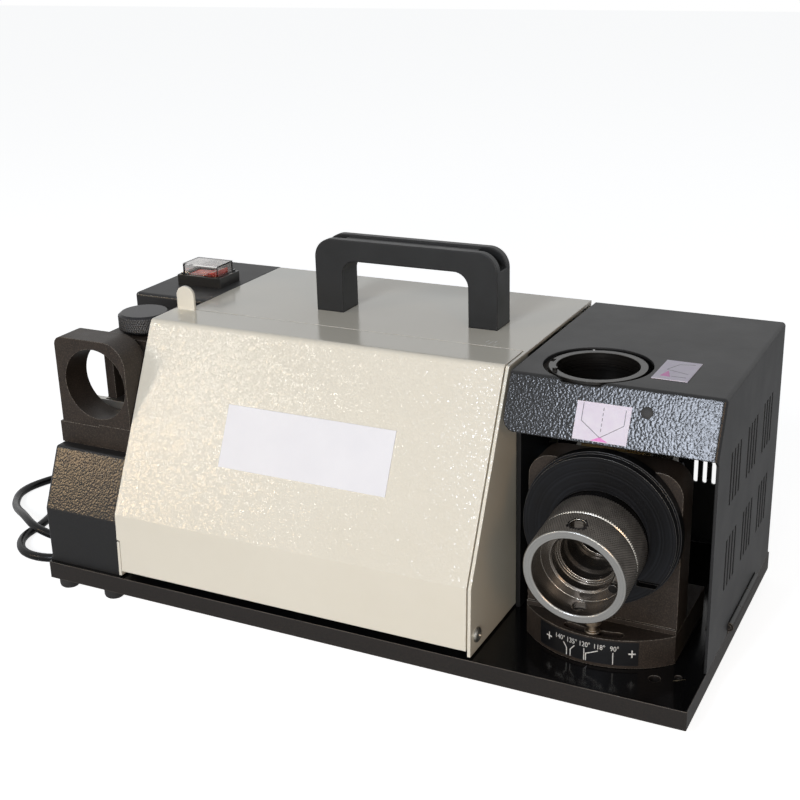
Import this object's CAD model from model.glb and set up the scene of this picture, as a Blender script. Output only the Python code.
import math

import bmesh
import bpy
from mathutils import Matrix, Vector


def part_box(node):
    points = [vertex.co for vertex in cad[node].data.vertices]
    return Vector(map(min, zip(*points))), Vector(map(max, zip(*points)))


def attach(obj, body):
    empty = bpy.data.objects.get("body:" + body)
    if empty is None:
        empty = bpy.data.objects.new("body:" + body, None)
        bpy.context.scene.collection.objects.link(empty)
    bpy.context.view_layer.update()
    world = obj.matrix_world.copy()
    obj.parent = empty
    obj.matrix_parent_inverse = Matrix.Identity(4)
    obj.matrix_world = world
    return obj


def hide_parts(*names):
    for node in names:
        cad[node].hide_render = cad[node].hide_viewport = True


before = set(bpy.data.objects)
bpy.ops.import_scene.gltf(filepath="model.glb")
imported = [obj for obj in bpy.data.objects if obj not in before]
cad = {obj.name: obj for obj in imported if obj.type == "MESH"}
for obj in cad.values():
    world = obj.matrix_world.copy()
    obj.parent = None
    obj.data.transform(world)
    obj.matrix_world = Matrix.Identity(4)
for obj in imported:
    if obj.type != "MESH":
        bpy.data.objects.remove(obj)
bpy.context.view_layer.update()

# ---- Camera ---------------------------------------------------------------------------------------------
# It stands off the machine's front right corner and a little above it, with a medium long lens, turned a
# degree and a half out of level.
CAMERA_PLACE = (0.3723, -0.7301, 0.4400)
TURNED_LEFT, TIPPED_DOWN, OUT_OF_LEVEL = math.radians(27.10), math.radians(20.38), math.radians(1.615)
LENS_MM = 59.62

lens_and_film = bpy.data.cameras.new("camera")
lens_and_film.lens = LENS_MM
lens_and_film.clip_start = 0.01
camera = bpy.data.objects.new("camera", lens_and_film)
camera.matrix_world = (Matrix.Translation(CAMERA_PLACE) @ Matrix.Rotation(TURNED_LEFT, 4, "Z")
                       @ Matrix.Rotation(math.pi / 2 - TIPPED_DOWN, 4, "X")
                       @ Matrix.Rotation(-OUT_OF_LEVEL, 4, "Z"))
bpy.context.scene.collection.objects.link(camera)
bpy.context.scene.camera = camera

# ---- Studio ---------------------------------------------------------------------------------------------
# A white floor and a white room. The lamps in front and to the sides stand low, so that the machine's tops
# stay darker than its slopes. The outer lamps are warm, and a faint one behind lifts the far side.


def colour(hex_code):
    """An sRGB hex colour as the linear values that a shader takes."""
    channels = [int(hex_code[i:i + 2], 16) / 255 for i in (1, 3, 5)]
    return [c / 12.92 if c <= 0.04045 else ((c + 0.055) / 1.055) ** 2.4 for c in channels] + [1.0]


def feed(node, inputs):
    """Feeds inputs by name or number with values, hex colours, sockets, or nodes for their first outputs."""
    for key, source in inputs.items():
        named = [socket for socket in node.inputs if socket.enabled and socket.name == key]
        taker = named[0] if named else node.inputs[key]
        if isinstance(source, bpy.types.Node):
            source = next(socket for socket in source.outputs if socket.enabled)
        if isinstance(source, bpy.types.NodeSocket):
            node.id_data.links.new(source, taker)
        else:
            taker.default_value = colour(source) if isinstance(source, str) else source


def add(tree, kind, inputs=None, **settings):
    """Adds a node with its settings and feeds its inputs."""
    node = tree.nodes.new(kind)
    for name, setting in settings.items():
        setattr(node, name, setting)
    feed(node, inputs or {})
    return node


def seen(tree, straight_on, in_mirrors):
    """One strength for what the camera sees straight on, another for it mirrored or through clear things."""
    path = add(tree, "ShaderNodeLightPath").outputs
    mirrored = add(tree, "ShaderNodeMath", {0: path["Is Glossy Ray"], 1: path["Is Transmission Ray"]},
                   operation="MAXIMUM")
    dimmed = add(tree, "ShaderNodeMath", {0: mirrored, 1: in_mirrors}, operation="MULTIPLY")
    direct = add(tree, "ShaderNodeMath", {0: path["Is Camera Ray"], 1: straight_on}, operation="MULTIPLY")
    return add(tree, "ShaderNodeMath", {0: direct, 1: dimmed}, operation="MAXIMUM")


bpy.context.scene.view_settings.view_transform = "Standard"

room = bpy.data.worlds.new("room")
bpy.context.scene.world = room
room.use_nodes = True
sky = room.node_tree
sky.nodes.clear()
glow = add(sky, "ShaderNodeBackground", {"Color": "#E2EAF2", "Strength": 0.20})
wall = add(sky, "ShaderNodeBackground", {"Color": "#FFFFFF", "Strength": 1.0})
which = add(sky, "ShaderNodeMixShader", {0: seen(sky, 1.0, 1.0), 1: glow, 2: wall})
add(sky, "ShaderNodeOutputWorld", {"Surface": which})

floor_paint = bpy.data.materials.new("white_floor")
floor_paint.use_nodes = True
tree = floor_paint.node_tree
tree.nodes.clear()
paint = add(tree, "ShaderNodeBsdfDiffuse", {"Color": "#D2D2D1"})
light = add(tree, "ShaderNodeEmission", {"Color": "#FFFFFF", "Strength": seen(tree, 0.84, 0.30)})
both = add(tree, "ShaderNodeAddShader", {0: paint, 1: light})
add(tree, "ShaderNodeOutputMaterial", {"Surface": both})

FLOOR_REACH = 5
sheet = bpy.data.meshes.new("floor")
sheet.from_pydata([(x * FLOOR_REACH, y * FLOOR_REACH, 0) for x, y in ((-1, -1), (1, -1), (1, 1), (-1, 1))],
                  [], [(0, 1, 2, 3)])
floor = bpy.data.objects.new("floor", sheet)
bpy.context.scene.collection.objects.link(floor)
floor.data.materials.append(floor_paint)


def hang_lamp(name, place, aim, size, watts, tint):
    """A soft rectangular lamp at a place, facing a point."""
    lamp = bpy.data.lights.new(name, "AREA")
    lamp.shape = "RECTANGLE"
    lamp.size, lamp.size_y = size
    lamp.energy = watts
    lamp.color = colour(tint)[:3]
    holder = bpy.data.objects.new(name, lamp)
    way = Vector(aim) - Vector(place)
    holder.matrix_world = Matrix.Translation(place) @ way.to_track_quat("-Z", "Y").to_matrix().to_4x4()
    bpy.context.scene.collection.objects.link(holder)


hang_lamp("front_lamp", (-0.12, -1.74, 1.10), (0.12, -0.05, 0.12), (0.36, 0.40), 14, "#E6EFFF")
hang_lamp("fill_lamp", (0.55, -1.75, 0.36), (0.0, -0.05, 0.08), (0.90, 0.40), 12.5, "#FFFAF3")
hang_lamp("left_lamp", (-1.27, -1.52, 0.98), (-0.13, -0.05, 0.15), (0.10, 0.10), 1.8, "#FFFBF2")
hang_lamp("low_left_lamp", (-1.53, -1.52, 0.70), (-0.19, -0.09, 0.08), (0.30, 0.26), 3.8, "#FFD9A6")
hang_lamp("right_lamp", (1.40, -1.30, 0.80), (0.12, -0.05, 0.12), (0.50, 0.50), 2.9, "#FFC88A")
hang_lamp("back_lamp", (0.6, 1.3, 1.6), (0, 0, 0.1), (1.4, 0.8), 1.0, "#E8F0FF")

# ---- Mains lead -----------------------------------------------------------------------------------------
# Round two-core lead in a glossy black PVC sheath, 6.2 mm thick. It leaves the rear left box, falls to the
# bench, lies in loose loops beside the machine, and the rest is wound into a tied coil behind it.


def start_finish(name, base, rough, metallic=0.0):
    """A new material: its tree, its shader and the piece's own coordinates in metres."""
    made = bpy.data.materials.new(name)
    made.use_nodes = True
    tree = made.node_tree
    shader = tree.nodes["Principled BSDF"]
    feed(shader, {"Base Color": base, "Roughness": rough, "Metallic": metallic})
    return made, tree, shader, add(tree, "ShaderNodeTexCoord").outputs["Object"]


def every(millimetres):
    """The scale of a pattern whose grains, waves or lines are this far apart."""
    return 1000 / millimetres


# PVC sheath: extruded smooth, so it mirrors the lamps in long soft streaks, with faint drag marks.
sheath, tree, shader, place = start_finish("black_pvc_sheath", "#070708", 0.26)
drag = add(tree, "ShaderNodeTexNoise", {"Vector": place, "Scale": every(4.545), "Detail": 3})
shine = add(tree, "ShaderNodeMapRange", {"Value": drag, "To Min": 0.18, "To Max": 0.36})
ripple = add(tree, "ShaderNodeBump", {"Height": drag, "Strength": 0.25, "Distance": 0.0003})
feed(shader, {"IOR": 1.42, "Specular IOR Level": 0.3, "Roughness": shine, "Normal": ripple})

LEAD = 0.0062
LEAD_EXIT, PLUG_START = (-0.190, 0.1395, 0.0502), (-0.048, 0.1278, 0.0150)
lead_points = [LEAD_EXIT] + [(x / 1000, y / 1000, z / 1000) for x, y, z in (
    (-190, 157, 50.2), (-198, 176, 42), (-214, 191, 28), (-236, 198, 14), (-261, 194, 4.5),
    (-284, 181, 3.1), (-300, 157, 3.1), (-307, 126, 3.1), (-316, 96, 3.1), (-330, 65, 3.1), (-348.5, 37, 3.1),
    (-355, 9, 3.1), (-342, -12.5, 3.1), (-324, -28, 7.5), (-305.5, -42, 13.6), (-280, -58, 13.6),
    (-255.5, -54.5, 7), (-240.5, -37, 3.1), (-239.5, -8, 3.1), (-241, 21, 3.1), (-259.5, 40.5, 3.1),
    (-286.5, 40.5, 3.1), (-305.5, 21, 3.1), (-303, -9, 3.1), (-295.5, -33, 3.1), (-295.5, -59, 3.1),
    (-276.5, -78.5, 3.1), (-249.5, -77.5, 3.1), (-231, -58, 3.1), (-231.5, -30, 3.1), (-230.8, 4, 3.1),
    (-232.5, 42, 3.1), (-231, 78, 3.1), (-231.5, 108, 3.1), (-211, 128.5, 3.1), (-181, 127.5, 3.1),
    (-153, 128.5, 3.1), (-129, 127.5, 3.1))]

# Four turns, two beside and two on each other. A turn steps inwards, upwards or outwards where the turns
# already laid leave it room, and the last quarter runs outside them and over the lead that comes in.
COIL_X, COIL_Y, INNER, OUTER, OUTSIDE = -0.110, 0.165, 0.0309, 0.0373, 0.0438
LOW, HIGH = 0.0031, 0.0095
coil_path = ((0, OUTER, LOW), (300, OUTER, LOW), (330, INNER, LOW), (630, INNER, LOW), (660, INNER, HIGH),
             (960, INNER, HIGH), (990, OUTER, HIGH), (1320, OUTER, HIGH), (1350, OUTSIDE, HIGH),
             (1440, OUTSIDE, HIGH))
for (first, r0, z0), (last, r1, z1) in zip(coil_path, coil_path[1:]):
    for turned_by in range(first, last, 15):
        share, angle = (turned_by - first) / (last - first), math.radians(turned_by)
        radius, height = r0 + (r1 - r0) * share, z0 + (z1 - z0) * share
        lead_points.append((COIL_X + radius * math.sin(angle), COIL_Y - radius * math.cos(angle), height))
lead_points += [(COIL_X, COIL_Y - OUTSIDE, HIGH), (-0.088, 0.1225, 0.0104), (-0.067, 0.1265, 0.0132),
                PLUG_START]

lead_curve = bpy.data.curves.new("mains_lead", "CURVE")
lead_curve.dimensions = "3D"
lead_curve.bevel_depth = LEAD / 2
lead_curve.bevel_resolution = 5
lead_curve.resolution_u = 6
lead_curve.use_fill_caps = True
lead_line = lead_curve.splines.new("NURBS")
lead_line.points.add(len(lead_points) - 1)
for point, spot in zip(lead_line.points, lead_points):
    point.co = (*spot, 1)
lead_line.order_u = 3
lead_line.use_endpoint_u = True
lead_curve.materials.append(sheath)
mains_lead = bpy.data.objects.new("mains_lead", lead_curve)
bpy.context.scene.collection.objects.link(mains_lead)

# Plug: two round nickelled pins in a moulded PVC body with a ribbed grip, drawn out into its own cord sleeve.
SHARP_EDGE = math.radians(38)


def link_mesh(name, shape, *finishes):
    """A finished mesh as an object at the origin, smooth but for its real edges."""
    mesh = bpy.data.meshes.new(name)
    shape.to_mesh(mesh)
    shape.free()
    mesh.shade_smooth()
    mesh.set_sharp_from_angle(angle=SHARP_EDGE)
    made = bpy.data.objects.new(name, mesh)
    bpy.context.scene.collection.objects.link(made)
    for finish in finishes:
        mesh.materials.append(finish)
    return made


def spin(shape, profile, place, steps=48, slot=0):
    """Adds a turned solid: its closed profile of (radius, height) goes round its own Z, then into place."""
    rings = []
    for radius, height in profile:
        count = steps if radius > 1e-6 else 1
        rings.append([shape.verts.new(place @ Vector((radius * math.cos(2 * math.pi * i / steps),
                                                      radius * math.sin(2 * math.pi * i / steps), height)))
                      for i in range(count)])
    made = []
    for low, high in zip(rings, rings[1:] + rings[:1]):
        if len(low) == 1 and len(high) == 1:
            continue
        for i in range(steps):
            j = (i + 1) % steps
            corners = [low[i % len(low)], low[j % len(low)], high[j % len(high)], high[i % len(high)]]
            made.append(shape.faces.new(list(dict.fromkeys(corners))))
    bmesh.ops.recalc_face_normals(shape, faces=made)
    for face in made:
        face.material_index = slot


# Moulded PVC: satin black, with the fine grain of a spark-eroded mould, drawn at 0.4 mm so that it shows.
plug_pvc, tree, shader, place = start_finish("moulded_black_pvc", "#101011", 0.42)
grain = add(tree, "ShaderNodeTexNoise", {"Vector": place, "Scale": every(0.385), "Detail": 2})
skin = add(tree, "ShaderNodeBump", {"Height": grain, "Strength": 0.35, "Distance": 0.0001})
feed(shader, {"Normal": skin})

# Nickel plate on brass: bright, a little warm, rubbed along the pin by sockets.
nickel, tree, shader, place = start_finish("nickelled_brass", "#C9C4B8", 0.24, metallic=1.0)
along = add(tree, "ShaderNodeMapping", {"Vector": place, "Scale": (every(16.67), every(0.4), every(0.4))})
rubbed = add(tree, "ShaderNodeTexNoise", {"Vector": along, "Scale": 1, "Detail": 2})
dull = add(tree, "ShaderNodeMapRange", {"Value": rubbed, "To Min": 0.16, "To Max": 0.38})
feed(shader, {"Roughness": dull})

SLEEVE_RINGS, GRIP_RIBS, PIN_OFFSET = 7, 5, 0.0095
plug_place = Matrix.Translation(PLUG_START) @ Matrix.Rotation(math.radians(90), 4, "Y")
shape = bmesh.new()
sleeve = [(0, 0.0), (0.0042, 0.0), (0.0045, 0.0006)]
for i in range(SLEEVE_RINGS):
    start, wide = 0.0030 + i * 0.0032, 0.0045 + i * 0.00026
    sleeve += [(wide, start), (wide + 0.0006, start + 0.0004), (wide + 0.0006, start + 0.0018),
               (wide, start + 0.0022)]
body = [(0.0065, 0.0255), (0.0110, 0.0272), (0.0128, 0.0300), (0.0131, 0.0340)]
for i in range(GRIP_RIBS):
    start, wide = 0.0370 + i * 0.0028, 0.0133 + i * 0.0002
    body += [(wide, start), (wide - 0.0005, start + 0.0006), (wide - 0.0005, start + 0.0014),
             (wide, start + 0.0020)]
body += [(0.0150, 0.0545), (0.0150, 0.0588), (0.0144, 0.0598), (0, 0.0600)]
spin(shape, sleeve + body, plug_place, 56)
for side in (-1, 1):
    pin = plug_place @ Matrix.Translation((0, side * PIN_OFFSET, 0.0595))
    spin(shape, [(0, 0), (0.0024, 0), (0.0024, 0.0180), (0.0019, 0.0190), (0.0010, 0.0194), (0, 0.0195)],
         pin, 24, slot=1)
plug = link_mesh("mains_plug_detailed", shape, plug_pvc, nickel)
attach(plug, "root")
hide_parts("mains_plug")

# Strain relief: a soft PVC sleeve on the lead where it leaves the gland, tapered and slotted into rings so
# that it bends more and more easily towards its tip.
RELIEF_LENGTH, RELIEF_RINGS = 0.0260, 6
relief_start = Vector(LEAD_EXIT) - Vector((0, RELIEF_LENGTH, 0))
shape = bmesh.new()
outline = [(LEAD / 2, 0.0), (0.0065, 0.0), (0.0065, 0.0030)]
for i in range(RELIEF_RINGS):
    start, wide = 0.0036 + i * 0.0036, 0.0063 - i * 0.00031
    outline += [(wide - 0.0011, start), (wide - 0.0011, start + 0.0010), (wide, start + 0.0014),
                (wide - 0.0001, start + 0.0036)]
outline += [(0.0044, RELIEF_LENGTH - 0.0005), (0.0041, RELIEF_LENGTH), (LEAD / 2, RELIEF_LENGTH)]
spin(shape, outline, Matrix.Translation(relief_start) @ Matrix.Rotation(math.radians(-90), 4, "X"))
relief = link_mesh("strain_relief_detailed", shape, plug_pvc)
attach(relief, "root")
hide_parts("strain_relief")

# Coil tie: a flat plastic-covered wire round the turns, its ends twisted together on top.
TIE_WIDTH, TIE_THICK, TIE_STEPS = 0.0032, 0.00045, 32
TIE_REACH, TIE_RISE, TIE_HEIGHT = 0.0067, 0.0064, 0.0069
WIRE, TWIST_LENGTH, TWIST_HEIGHT, TWIST_RADIUS, TWIST_TURN, TWIST_STEPS = 0.0006, 0.012, 0.0140, 0.0010, 9, 24
tie_angle = math.radians(160)
upwards = Vector((0, 0, 1))
out = Vector((math.sin(tie_angle), -math.cos(tie_angle), 0))
along_turn = Vector((math.cos(tie_angle), math.sin(tie_angle), 0))
tie_foot = Vector((COIL_X, COIL_Y, 0)) + out * (INNER + OUTER) / 2
tie_middle = tie_foot + upwards * TIE_HEIGHT
shape = bmesh.new()
loop = []
for i in range(TIE_STEPS):
    a = 2 * math.pi * i / TIE_STEPS
    wide = TIE_REACH * math.copysign(abs(math.cos(a)) ** 0.5, math.cos(a))
    tall = TIE_RISE * math.copysign(abs(math.sin(a)) ** 0.5, math.sin(a))
    loop.append(tie_middle + out * wide + upwards * tall)
bands = [[shape.verts.new(p + along_turn * side * TIE_WIDTH / 2 + (p - tie_middle).normalized() * swell)
          for p in loop] for side in (-1, 1) for swell in (0.0, TIE_THICK)]
around = (0, 1, 3, 2, 0)
for a, b in zip(around, around[1:]):
    for i in range(TIE_STEPS):
        j = (i + 1) % TIE_STEPS
        shape.faces.new((bands[a][i], bands[a][j], bands[b][j], bands[b][i]))
for start_angle in (0, math.pi):
    strand = []
    for i in range(TWIST_STEPS + 1):
        share = i / TWIST_STEPS
        winding = share * TWIST_TURN + start_angle
        strand.append(tie_foot + along_turn * share * TWIST_LENGTH + out * TWIST_RADIUS * math.cos(winding)
                      + upwards * (TWIST_HEIGHT + TWIST_RADIUS * math.sin(winding)))
    rows = [[shape.verts.new(p + out * WIRE * math.cos(a) + upwards * WIRE * math.sin(a))
             for a in (k * math.pi / 3 for k in range(6))] for p in strand]
    for row, after in zip(rows, rows[1:]):
        for k in range(6):
            shape.faces.new((row[k], row[(k + 1) % 6], after[(k + 1) % 6], after[k]))
    shape.faces.new(rows[0])
    shape.faces.new(rows[-1])
bmesh.ops.recalc_face_normals(shape, faces=shape.faces)
tie = link_mesh("coil_tie", shape, plug_pvc)
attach(tie, "root")

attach(mains_lead, "root")
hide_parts("mains_cord", "cord_tail", "cord_coil")

# ---- Base plate -----------------------------------------------------------------------------------------
# Steel plate 12 mm thick under the whole machine. The top is sprayed gloss black; the sawn and ground edges
# are only blackened, and speckled with mill scale.


def worn_edges(tree, radius, low=0.90, high=0.985):
    """The softened normal of rounded edges, and a mask that is 1 where an edge is sharp enough to wear."""
    rounded = add(tree, "ShaderNodeBevel", {"Radius": radius}, samples=5)
    flat = add(tree, "ShaderNodeNewGeometry")
    meeting = add(tree, "ShaderNodeVectorMath", {0: rounded, 1: flat.outputs["Normal"]},
                  operation="DOT_PRODUCT")
    mask = add(tree, "ShaderNodeMapRange", {"Value": meeting, "From Min": low, "From Max": high,
                                            "To Min": 1.0, "To Max": 0.0})
    return rounded, mask


def dress(finish, *names):
    """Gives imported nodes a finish."""
    for name in names:
        for own in cad[name].material_slots:
            own.material = finish


# Gloss black stoving enamel on steel: a deep, slightly wavy mirror with dust in it. On the plate's edges
# there is mill scale instead: its specks are about 0.2 mm across and are drawn at 0.8 mm so that they show.
plate_enamel, tree, shader, place = start_finish("black_enamel_on_steel", "#0B0B0C", 0.2)
normal, worn = worn_edges(tree, 0.0008)
facing = add(tree, "ShaderNodeSeparateXYZ", {0: add(tree, "ShaderNodeTexCoord").outputs["Normal"]})
is_edge = add(tree, "ShaderNodeMapRange", {"Value": facing.outputs["Z"], "From Min": 0.6, "From Max": 0.8,
                                           "To Min": 1.0, "To Max": 0.0})
specks = add(tree, "ShaderNodeTexNoise", {"Vector": place, "Scale": every(0.8), "Detail": 3})
stain = add(tree, "ShaderNodeTexNoise", {"Vector": place, "Scale": every(22.2), "Detail": 4})
bare_at = add(tree, "ShaderNodeMapRange", {"Value": specks, "From Min": 0.3, "From Max": 0.75})
bare = add(tree, "ShaderNodeMix", {"Factor": bare_at, "A": "#090706", "B": "#241C17"}, data_type="RGBA")
bare = add(tree, "ShaderNodeMix", {"Factor": stain, "A": bare, "B": "#120F0D"}, data_type="RGBA")
tone = add(tree, "ShaderNodeMix", {"Factor": is_edge, "A": "#0B0B0C", "B": bare}, data_type="RGBA")
rubbed = add(tree, "ShaderNodeMath", {0: worn, 1: stain}, operation="MULTIPLY")
tone = add(tree, "ShaderNodeMix", {"Factor": rubbed, "A": tone, "B": "#8C8378"}, data_type="RGBA")
dust = add(tree, "ShaderNodeTexNoise", {"Vector": place, "Scale": every(71.4), "Detail": 6, "Roughness": 0.7})
mirror = add(tree, "ShaderNodeMapRange", {"Value": dust, "From Min": 0.3, "From Max": 0.7,
                                          "To Min": 0.07, "To Max": 0.20})
matt = add(tree, "ShaderNodeMix", {"Factor": is_edge, "A": mirror, "B": 0.55})
waves = add(tree, "ShaderNodeTexNoise", {"Vector": place, "Scale": every(16.67), "Detail": 2})
wavy = add(tree, "ShaderNodeBump", {"Height": waves, "Normal": normal, "Strength": 0.10, "Distance": 0.0004})
scored = add(tree, "ShaderNodeMath", {0: specks, 1: is_edge}, operation="MULTIPLY")
ground = add(tree, "ShaderNodeBump", {"Height": scored, "Normal": wavy, "Strength": 0.5, "Distance": 0.0002})
feed(shader, {"IOR": 1.40, "Base Color": tone, "Roughness": matt, "Normal": ground})
dress(plate_enamel, "base_plate")

# White screen ink: flat, a little thin over the black, for the figures.
ink, tree, shader, place = start_finish("white_screen_ink", "#D9D8D2", 0.5)
thin = add(tree, "ShaderNodeTexNoise", {"Vector": place, "Scale": every(0.556), "Detail": 3})
patchy = add(tree, "ShaderNodeMapRange", {"Value": thin, "From Min": 0.35, "From Max": 0.6})
tone = add(tree, "ShaderNodeMix", {"Factor": patchy, "A": "#A9A8A3", "B": "#E2E1DC"}, data_type="RGBA")
feed(shader, {"Base Color": tone})


def mottle(tree, place, millimetres, detail, one, other):
    """Cloudy noise in blotches of a given size, and a colour that wanders between two with it."""
    noise = add(tree, "ShaderNodeTexNoise", {"Vector": place, "Scale": every(millimetres), "Detail": detail})
    return noise, add(tree, "ShaderNodeMix", {"Factor": noise, "A": one, "B": other}, data_type="RGBA")


# Index mark: a small notch scribed in the enamel, that the swivel's scale is read against.
scribed, tree, shader, place = start_finish("scribed_steel", "#57595C", 0.4, metallic=0.6)
tone = mottle(tree, place, 0.667, 3, "#2A2B2D", "#85878A")[1]
feed(shader, {"Base Color": tone})


def thin_marks(name, top, outlines, *finishes):
    """Flat marks a few hundredths of a millimetre thick on a level top, each from its own outline."""
    shape = bmesh.new()
    for outline in outlines:
        lower, upper = ([shape.verts.new((x, y, top + raised)) for x, y in outline]
                        for raised in (0.00002, 0.00006))
        shape.faces.new(upper)
        shape.faces.new(list(reversed(lower)))
        for i in range(len(outline)):
            j = (i + 1) % len(outline)
            shape.faces.new((lower[i], lower[j], upper[j], upper[i]))
    bmesh.ops.recalc_face_normals(shape, faces=shape.faces)
    return link_mesh(name, shape, *finishes)


plate_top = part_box("base_plate")[1].z
index_mark = thin_marks("index_mark", plate_top, [[(0.1590, -0.0825), (0.1583, -0.0860), (0.1597, -0.0860)]],
                        scribed)
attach(index_mark, "root")

# A scratch through the enamel near the fixing hole, down to bright steel.
scratch_bright, tree, shader, place = start_finish("scratched_bright_steel", "#C9BE96", 0.3, metallic=0.8)
tone = mottle(tree, place, 0.4, 2, "#9C8E62", "#F0EBD2")[1]
feed(shader, {"Base Color": tone})
scratch = thin_marks("plate_scratch", plate_top,
                     [[(0.2091, -0.0778), (0.2112, -0.0772), (0.2135, -0.0751), (0.2110, -0.0764)],
                      [(0.2128, -0.0757), (0.2156, -0.0735), (0.2130, -0.0752)]], scratch_bright)
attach(scratch, "root")

# ---- Feet and base screws -------------------------------------------------------------------------------
# Six moulded rubber buffers, each held by a screw in its recess, and the zinc plated cap screws that come up
# through the plate to hold the housings.


def copies_at_points():
    """A node tree that sets a piece at every point of a mesh, each turned at random about its own axis."""
    tree = bpy.data.node_groups.new("copies_at_points", "GeometryNodeTree")
    for title, kind in (("Places", "Geometry"), ("Piece", "Object"), ("Finish", "Material"),
                        ("Most Turn", "Float"), ("Seed", "Int")):
        tree.interface.new_socket(title, in_out="INPUT", socket_type="NodeSocket" + kind)
    tree.interface.new_socket("Copies", in_out="OUTPUT", socket_type="NodeSocketGeometry")
    given = add(tree, "NodeGroupInput").outputs
    least = add(tree, "ShaderNodeMath", {0: given["Most Turn"], 1: -1.0}, operation="MULTIPLY")
    angle = add(tree, "FunctionNodeRandomValue", {"Min": least, "Max": given["Most Turn"],
                                                  "Seed": given["Seed"]}, data_type="FLOAT")
    about = add(tree, "ShaderNodeCombineXYZ", {"Z": angle})
    piece = add(tree, "GeometryNodeObjectInfo", {"Object": given["Piece"]})
    copies = add(tree, "GeometryNodeInstanceOnPoints", {"Points": given["Places"], "Rotation": about,
                                                        "Instance": piece.outputs["Geometry"]})
    real = add(tree, "GeometryNodeRealizeInstances", {0: copies})
    finished = add(tree, "GeometryNodeSetMaterial", {"Geometry": real, "Material": given["Finish"]})
    add(tree, "NodeGroupOutput", {0: finished})
    return tree


copies_tree = copies_at_points()


def run_tree(obj, tree, place=Matrix(), **inputs):
    """Runs a node tree on an object, keeps what it makes as the object's plain mesh, and puts it in place."""
    modifier = obj.modifiers.new("made", "NODES")
    modifier.node_group = tree
    for socket in tree.interface.items_tree:
        key = socket.name.replace(" ", "_").lower()
        if socket.in_out == "INPUT" and key in inputs:
            modifier[socket.identifier] = inputs[key]
    made = bpy.data.meshes.new_from_object(obj.evaluated_get(bpy.context.evaluated_depsgraph_get()))
    obj.modifiers.clear()
    obj.data = made
    made.transform(place)


def repeat(name, piece, finish, spots, place=Matrix(), most_turn=0.0, seed=1):
    """Copies of a piece at several spots, as one object; the piece itself is used up."""
    points = bpy.data.meshes.new(name)
    points.from_pydata(spots, [], [])
    made = bpy.data.objects.new(name, points)
    bpy.context.scene.collection.objects.link(made)
    bpy.context.view_layer.update()
    run_tree(made, copies_tree, place, piece=piece, finish=finish, most_turn=most_turn, seed=seed)
    bpy.data.objects.remove(piece)
    made.data.set_sharp_from_angle(angle=SHARP_EDGE)
    return made


# Black rubber: moulded, dull, with a bloom that greys it a little.
rubber, tree, shader, place = start_finish("moulded_black_rubber", "#121212", 0.62)
bloom, tone = mottle(tree, place, 5.556, 4, "#0C0C0C", "#1E1D1C")
pores = add(tree, "ShaderNodeBump", {"Height": bloom, "Strength": 0.3, "Distance": 0.0002})
feed(shader, {"Base Color": tone, "Normal": pores})

# Zinc plate on steel: pale grey with a faint yellow and blue passivation, and dirt in its corners.
zinc, tree, shader, place = start_finish("zinc_plated_steel", "#A9A7A0", 0.38, metallic=1.0)
passivation, tone = mottle(tree, place, 3.846, 3, "#8F8C80", "#BDBCB8")
gleam = add(tree, "ShaderNodeMapRange", {"Value": passivation, "To Min": 0.25, "To Max": 0.5})
feed(shader, {"Base Color": tone, "Roughness": gleam})


def boxes_of(name):
    """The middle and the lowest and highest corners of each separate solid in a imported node."""
    shape = bmesh.new()
    shape.from_mesh(cad[name].data)
    bmesh.ops.remove_doubles(shape, verts=shape.verts, dist=1e-6)
    left, found = set(shape.verts), []
    while left:
        group, edge = set(), [left.pop()]
        while edge:
            corner = edge.pop()
            group.add(corner)
            for side in corner.link_edges:
                other = side.other_vert(corner)
                if other in left:
                    left.discard(other)
                    edge.append(other)
        low = Vector([min(v.co[k] for v in group) for k in range(3)])
        high = Vector([max(v.co[k] for v in group) for k in range(3)])
        found.append(((low + high) / 2, low, high))
    shape.free()
    return sorted(found, key=lambda box: tuple(box[1]))


FOOT_HEIGHT, FOOT_RADIUS = 0.0080, 0.0070
foot_spots = [(middle.x, middle.y, 0.0) for middle, low, high in boxes_of("rubber_feet")]
shape = bmesh.new()
spin(shape, [(0.0020, FOOT_HEIGHT), (FOOT_RADIUS, FOOT_HEIGHT), (FOOT_RADIUS, 0.0022), (0.0066, 0.0008),
             (0.0058, 0.0), (0.0046, 0.0), (0.0042, 0.0006), (0.0042, 0.0040), (0.0020, 0.0040)], Matrix())
feet = repeat("rubber_buffers", link_mesh("buffer", shape), rubber, foot_spots)
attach(feet, "root")
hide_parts("rubber_feet")
dress(zinc, "base_screws")

# ---- Motor ----------------------------------------------------------------------------------------------
# Open-frame induction motor lying along the machine: grey enamelled shell, die cast end bells, a fan under a
# pressed cowl, and a welded steel cradle. It is seen through the door and the vents.

# Grey enamel over cast and rolled steel: semi-gloss, slightly orange-peeled.
enamel, tree, shader, place = start_finish("grey_motor_enamel", "#5B6164", 0.4)
peel = add(tree, "ShaderNodeTexNoise", {"Vector": place, "Scale": every(2.381), "Detail": 2})
normal, worn = worn_edges(tree, 0.0007)
tone = add(tree, "ShaderNodeMix", {"Factor": worn, "A": "#5B6164", "B": "#9A9D9D"}, data_type="RGBA")
peeled = add(tree, "ShaderNodeBump", {"Height": peel, "Normal": normal, "Strength": 0.2, "Distance": 0.0003})
feed(shader, {"Base Color": tone, "Normal": peeled})

# Die cast aluminium: pale, matt, with a chilled skin and small flow marks.
die_cast, tree, shader, place = start_finish("die_cast_aluminium", "#B4B5B6", 0.5, metallic=1.0)
flow, tone = mottle(tree, place, 11.11, 5, "#9C9D9F", "#C6C7C8")
feed(flow, {"Distortion": 1.2})
normal = worn_edges(tree, 0.0006)[0]
cast = add(tree, "ShaderNodeBump", {"Height": flow, "Normal": normal, "Strength": 0.3, "Distance": 0.0004})
feed(shader, {"Base Color": tone, "Normal": cast})

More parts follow.
